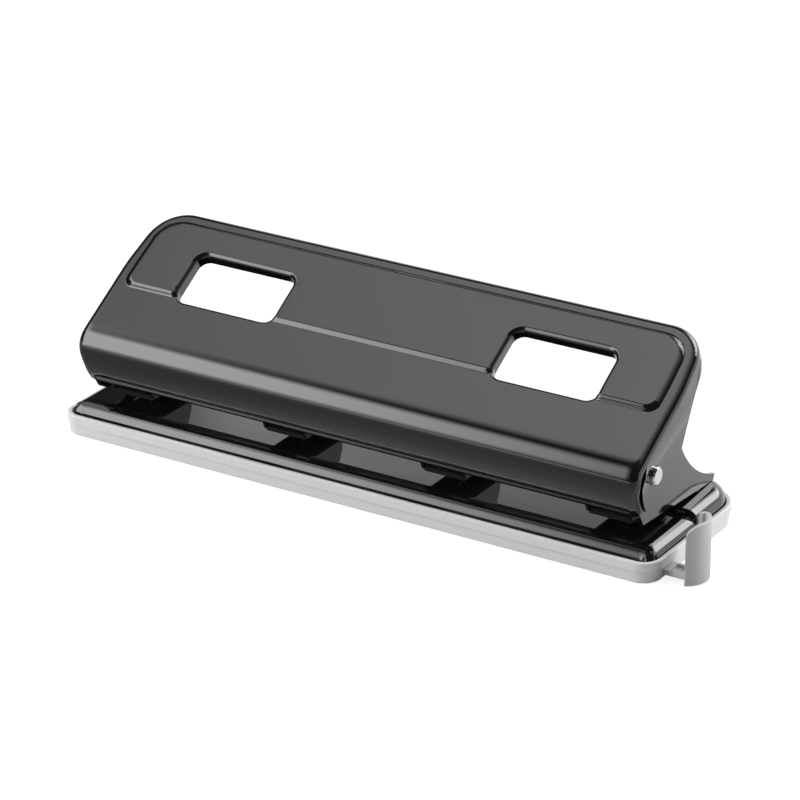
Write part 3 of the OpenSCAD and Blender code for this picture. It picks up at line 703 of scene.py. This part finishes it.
bm = bmesh.new()
start = stop_mid + round_axis(stop_r, stop_from)
column = [bm.verts.new((start.x, start.y, z)) for z in (stop_low, stop_top - round_foot, stop_top)]
geom = column + [bm.edges.new(pair) for pair in zip(column, column[1:])]
roll_mid = stop_mid + round_axis(stop_r - roll_r, stop_to)
for middle, sweep, steps in ((stop_mid, stop_to - stop_from, 40), (roll_mid, roll_turn, 18)):
    geom = bmesh.ops.spin(bm, geom=geom, cent=middle, axis=(0, 0, 1),
                          angle=sweep, steps=steps)["geom_last"]
front_y = min(v.co.y for v in bm.verts)
for v in bm.verts:
    short = front_y + stop_round - v.co.y
    if v.co.z > stop_top - hair and short > 0 and v.co.x > stop_mid.x:
        v.co.z -= stop_round - math.sqrt(max(stop_round ** 2 - short ** 2, 0))


def looks_out(f):
    """How far a face in the stop's front half looks away from the stop's axis."""
    away = f.calc_center_median() - stop_mid
    away.z = 0
    return f.normal.dot(away) if away.y < 0 else 0


face_up(bm, looks_out)

guide_plastic, shader, place = new_finish("guide_plastic", {"IOR": 1.49})
cloud = speckle(place, per_metre=60, detail=3)
grain = speckle(place, per_metre=3200, detail=1)
feed(shader,
     Base_Color=blend_tones(cloud, dark=(0.51, 0.515, 0.515), light=(0.57, 0.575, 0.575)),
     Roughness=0.40 + 0.12 * cloud,
     Normal=bumps(grain, depth=mm(0.015), strength=0.35))
stop = make_piece(bm, "guide_stop", guide_plastic, "guide", ["paper_guide"])
wall = stop.modifiers.new("wall", "SOLIDIFY")
wall.thickness = stop_wall
wall.offset = 0


def ease_edges(piece, width, segments):
    """Rounds the edges of a moulded piece."""
    edge = piece.modifiers.new("edge", "BEVEL")
    edge.width, edge.segments = width, segments
    edge.limit_method = "ANGLE"
    edge.angle_limit = math.radians(50)


ease_edges(stop, mm(0.45), 3)

bar_past = mm(8.2)
bar_low = Vector(mm(62.6, -31.55, 1.9))
bar_high = Vector((stop_mid.x + bar_past, *mm(-22.55, 4.4)))
pocket_x0, pocket_x1, pocket_edge, pocket_draft, pocket_d = mm(151.2, 157.2, 1.6, 0.25, 1.2)
pocket_y0, pocket_y1 = bar_low.y + pocket_edge, bar_high.y - pocket_edge

bm = bmesh.new()
bmesh.ops.create_cube(bm, size=1.0, matrix=Matrix.Translation((bar_low + bar_high) / 2)
                      @ Matrix.Diagonal((*(bar_high - bar_low), 1)))
score(bm, "X", [pocket_x0, pocket_x1])
score(bm, "Y", [pocket_y0, pocket_y1])
bm.normal_update()


def in_pocket(f):
    """True for the bar's top between the pocket's edges."""
    middle = f.calc_center_median()
    return (f.normal.z > 0.5 and pocket_x0 < middle.x < pocket_x1
            and pocket_y0 < middle.y < pocket_y1)


bmesh.ops.inset_region(bm, faces=[f for f in bm.faces if in_pocket(f)],
                       thickness=pocket_draft, depth=-pocket_d)
bar = make_piece(bm, "guide_bar", guide_plastic, "guide", ["paper_guide"])
ease_edges(bar, mm(0.3), 2)

# Floor, light and camera
# A white studio table under four soft boxes, over the left, front left, front right and right,
# with soft patches of light in the room round it; the camera stands where the photograph's did.
table_half, table_grey, table_white = 6.0, 0.25, 0.85
floor_mesh = bpy.data.meshes.new("floor")
bm = bmesh.new()
bmesh.ops.create_grid(bm, x_segments=1, y_segments=1, size=table_half)
bm.to_mesh(floor_mesh)
bm.free()
floor = bpy.data.objects.new("floor", floor_mesh)
bpy.context.scene.collection.objects.link(floor)


def fade(value, none, full):
    """Rises softly from 0 where the value is none to 1 where it is full."""
    return value.node("ShaderNodeMapRange", {"interpolation_type": "SMOOTHSTEP"},
                      {"Value": value, "From Min": none, "From Max": full})


def patch(strength, *limits):
    """A soft patch of light of that strength, faded by each limit's (value, none, full)."""
    for limit in limits:
        strength = strength * fade(*limit)
    return strength


def parts_of(vector, axes):
    """The parts of a vector along these axes."""
    return [vector.node("ShaderNodeSeparateXYZ", None, {0: vector}, out=axis) for axis in axes]


white_table, shader, place = new_finish("white_table", {
    "Base Color": (table_grey, table_grey, table_grey, 1),
    "Roughness": 0.9, "Specular IOR Level": 0.0})
tree = white_table.node_tree
rays = tree.nodes.new("ShaderNodeLightPath").outputs
table_x, table_y = parts_of(place, "XY")
# Painted reflections: the table glows for reflected rays only, in a patch to its right and one at
# its front left, so these show in the lacquer as painted reflections.
painted_reflection_right = ((patch(0.7, (table_y, -0.15, 0.1)) + patch(0.6, (table_y, 0.1, 0.28)))
              * fade(table_x, -0.25, 0.05))
painted_reflection_front = patch(1.15, (table_y, -0.10, -0.50), (table_x, 0.15, -0.25))
# To the camera the table glows evenly white; to reflections it glows only in the painted
# reflection patches.
seen = (Shade(tree, rays["Is Camera Ray"]) + Shade(tree, rays["Is Transmission Ray"])
        + (painted_reflection_right + painted_reflection_front) * Shade(tree, rays["Is Glossy Ray"]))
pale = blend_tones(seen, dark=(0, 0, 0), light=(table_white, table_white, table_white))
glow = seen.node("ShaderNodeEmission", None, {"Color": pale})
both = seen.node("ShaderNodeAddShader", None, {0: glow, 1: Shade(tree, shader.outputs["BSDF"])})
tree.links.new(both.socket, tree.nodes["Material Output"].inputs["Surface"])
floor_mesh.materials.append(white_table)

world = bpy.data.worlds.new("pale_room")
bpy.context.scene.world = world
world.use_nodes = True
tree = world.node_tree
way = Shade(tree).node("ShaderNodeTexCoord", out="Generated")
to_right, to_back, up = parts_of(way, "XYZ")
slant, lean = to_back + 2.0 * to_right, up - 1.5 * to_right
over_patch = patch(1.45, (to_right, 0.80, -0.45), (to_right, -0.80, -0.36),
                   (to_back, -0.13, -0.02), (to_back, 0.46, 0.20), (up, 0.2, 0.5))
front_patch = patch(4.0, (to_right, -0.345, -0.53), (slant, -1.06, -1.50), (lean, 0.60, 0.97),
                    (to_back, 0.16, -0.02), (to_right, -0.82, -0.64))
rear_patch = patch(4.5, (to_right, -0.30, 0.14), (to_right, 0.60, 0.48), (to_back, 0.45, 0.66),
                   (up, 0.88, 0.68), (up, 0.30, 0.42))
wall_patch = patch(0.82, (up, 0.47, 0.39), (to_back, -0.35, 0.10), (to_right, -0.535, -0.51))
dim_room = 0.03
light = over_patch + front_patch + rear_patch + wall_patch + dim_room
room = light.node("ShaderNodeCombineColor", None, {"Red": light, "Green": light, "Blue": light})
tree.links.new(room.socket, tree.nodes["Background"].inputs["Color"])


def soft_box(name, way, distance, width, depth, brightness):
    """A studio light that shapes the pale surfaces, hung along a way and facing the object."""
    lamp = bpy.data.lights.new(name, "AREA")
    lamp.shape = "RECTANGLE"
    lamp.size, lamp.size_y = width, depth
    lamp.energy = brightness * math.pi * width * depth
    box = bpy.data.objects.new(name, lamp)
    way = Vector(way).normalized()
    box.location = way * distance
    box.rotation_mode = "QUATERNION"
    box.rotation_quaternion = way.to_track_quat("Z", "Y")
    box.visible_glossy = False
    bpy.context.scene.collection.objects.link(box)


soft_box("box_over_left", way=(-0.5, -0.25, 0.83), distance=1.6,
         width=1.4, depth=1.2, brightness=0.8)
soft_box("box_front_left", way=(-0.60, -0.76, 0.22), distance=0.75,
         width=0.6, depth=0.4, brightness=3.1)
soft_box("box_front_right", way=(0.60, -0.75, 0.30), distance=0.9,
         width=0.6, depth=0.4, brightness=0.5)
soft_box("box_right", way=(0.90, 0.30, 0.32), distance=0.9,
         width=0.5, depth=0.5, brightness=5.2)

camera_data = bpy.data.cameras.new("camera")
camera_data.sensor_width = 36.0
camera_data.lens = 181.87
camera_data.clip_start, camera_data.clip_end = 0.05, 50.0
camera = bpy.data.objects.new("camera", camera_data)
azimuth, elevation, distance = math.radians(31.5638), math.radians(23.8247), 1.76017
target = Vector(mm(-6.219, 14.0, 27.438))
back = Vector((math.sin(azimuth) * math.cos(elevation), -math.cos(azimuth) * math.cos(elevation),
               math.sin(elevation)))
camera.location = target + back * distance
camera.rotation_mode = "QUATERNION"
camera.rotation_quaternion = (-back).to_track_quat("-Z", "Y")
bpy.context.scene.collection.objects.link(camera)
bpy.context.scene.camera = camera
bpy.context.scene.view_settings.view_transform = "Standard"
